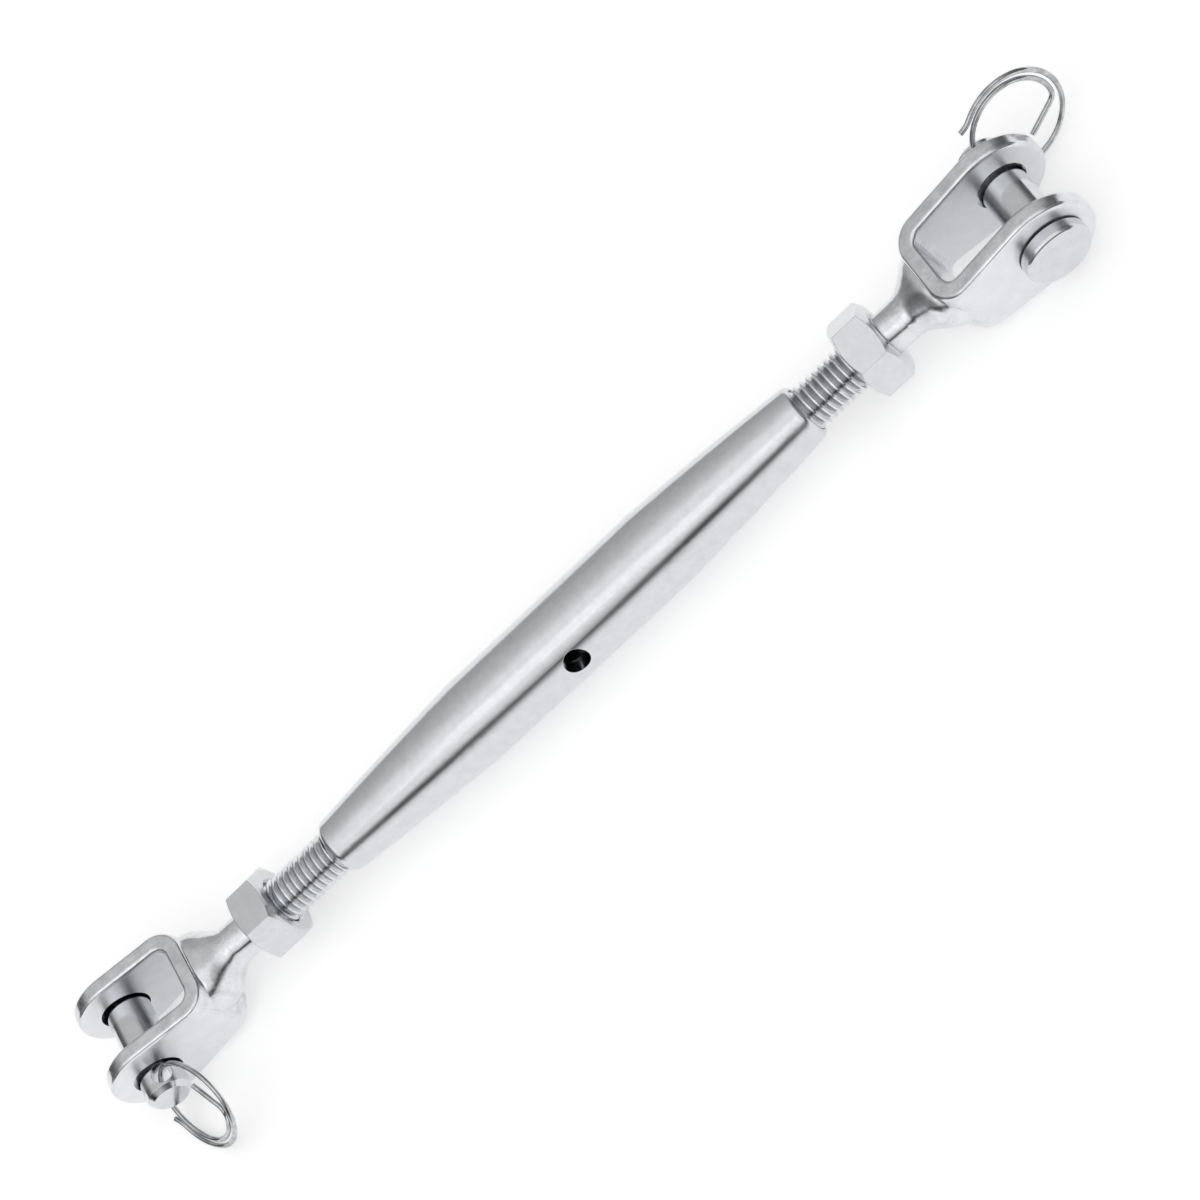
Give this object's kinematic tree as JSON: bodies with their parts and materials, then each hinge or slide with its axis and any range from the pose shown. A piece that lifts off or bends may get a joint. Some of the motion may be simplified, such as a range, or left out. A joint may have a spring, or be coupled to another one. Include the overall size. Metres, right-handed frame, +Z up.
{
  "type": "shroud adjuster",
  "caption": "Closed-body rigging screw with a forked jaw, clevis pin and split ring at each end and lock nuts on its threads.",
  "frame": {"origin": "middle of the barrel, where the axis of the bar hole crosses the axis of the screw", "axes": "+X along the screw towards the upper jaw, +Z up from the surface that the ears lie on, -Y towards the head of the upper pin"},
  "size_m": [0.2225, 0.0394, 0.0185],
  "materials": {
    "polished_steel": "polished",
    "drawn_wire": "bright drawn"
  },
  "bodies": {
    "barrel": {"barrel": "polished_steel"},
    "upper_lock_nut": {"upper_lock_nut": "polished_steel"},
    "upper_jaw": {"upper_jaw": "polished_steel"},
    "upper_clevis_pin": {"upper_clevis_pin": "polished_steel"},
    "upper_split_ring": {"upper_split_ring": "drawn_wire"},
    "lower_lock_nut": {"lower_lock_nut": "polished_steel"},
    "lower_jaw": {"lower_jaw": "polished_steel"},
    "lower_clevis_pin": {"lower_clevis_pin": "polished_steel"},
    "lower_split_ring": {"lower_split_ring": "drawn_wire"}
  },
  "joints": [
    {"name": "upper_screw_travel", "type": "slide", "parent": "barrel", "child": "upper_lock_nut", "axis": [1, 0, 0], "range_m": [-0.01, 0.025]},
    {"name": "upper_jaw_turn", "type": "hinge", "parent": "upper_lock_nut", "child": "upper_jaw", "pos_m": [0.0693, 0, 0], "axis": [1, 0, 0], "range_deg": [-2881, 7201]},
    {"name": "lower_screw_travel", "type": "slide", "parent": "barrel", "child": "lower_lock_nut", "axis": [-1, 0, 0], "range_m": [-0.01, 0.025]},
    {"name": "lower_jaw_turn", "type": "hinge", "parent": "lower_lock_nut", "child": "lower_jaw", "pos_m": [-0.0733, 0, 0], "axis": [1, 0, 0], "range_deg": [-2881, 7201]},
    {"name": "upper_pin_turn", "type": "hinge", "parent": "upper_jaw", "child": "upper_clevis_pin", "pos_m": [0.097, 0, -0.0004], "axis": [0, 1, 0], "continuous": true},
    {"name": "upper_ring_swing", "type": "hinge", "parent": "upper_clevis_pin", "child": "upper_split_ring", "pos_m": [0.097, 0.0101, -0.0004], "axis": [0.1132, 0, -0.9936], "range_deg": [-157.9, 2.1]},
    {"name": "lower_pin_turn", "type": "hinge", "parent": "lower_jaw", "child": "lower_clevis_pin", "pos_m": [-0.101, 0, -0.0004], "axis": [0, -1, 0], "continuous": true},
    {"name": "lower_ring_swing", "type": "hinge", "parent": "lower_clevis_pin", "child": "lower_split_ring", "pos_m": [-0.101, -0.0101, -0.0004], "axis": [0.5606, 0, 0.8281], "range_deg": [-103.4, 56.6]}
  ],
  "couplings": [
    {"joint": "lower_screw_travel", "follows": "upper_screw_travel", "ratio": 1},
    {"joint": "upper_jaw_turn", "follows": "upper_screw_travel", "rad_per_m": 5026.5},
    {"joint": "lower_jaw_turn", "follows": "upper_screw_travel", "rad_per_m": 5026.5}
  ]
}
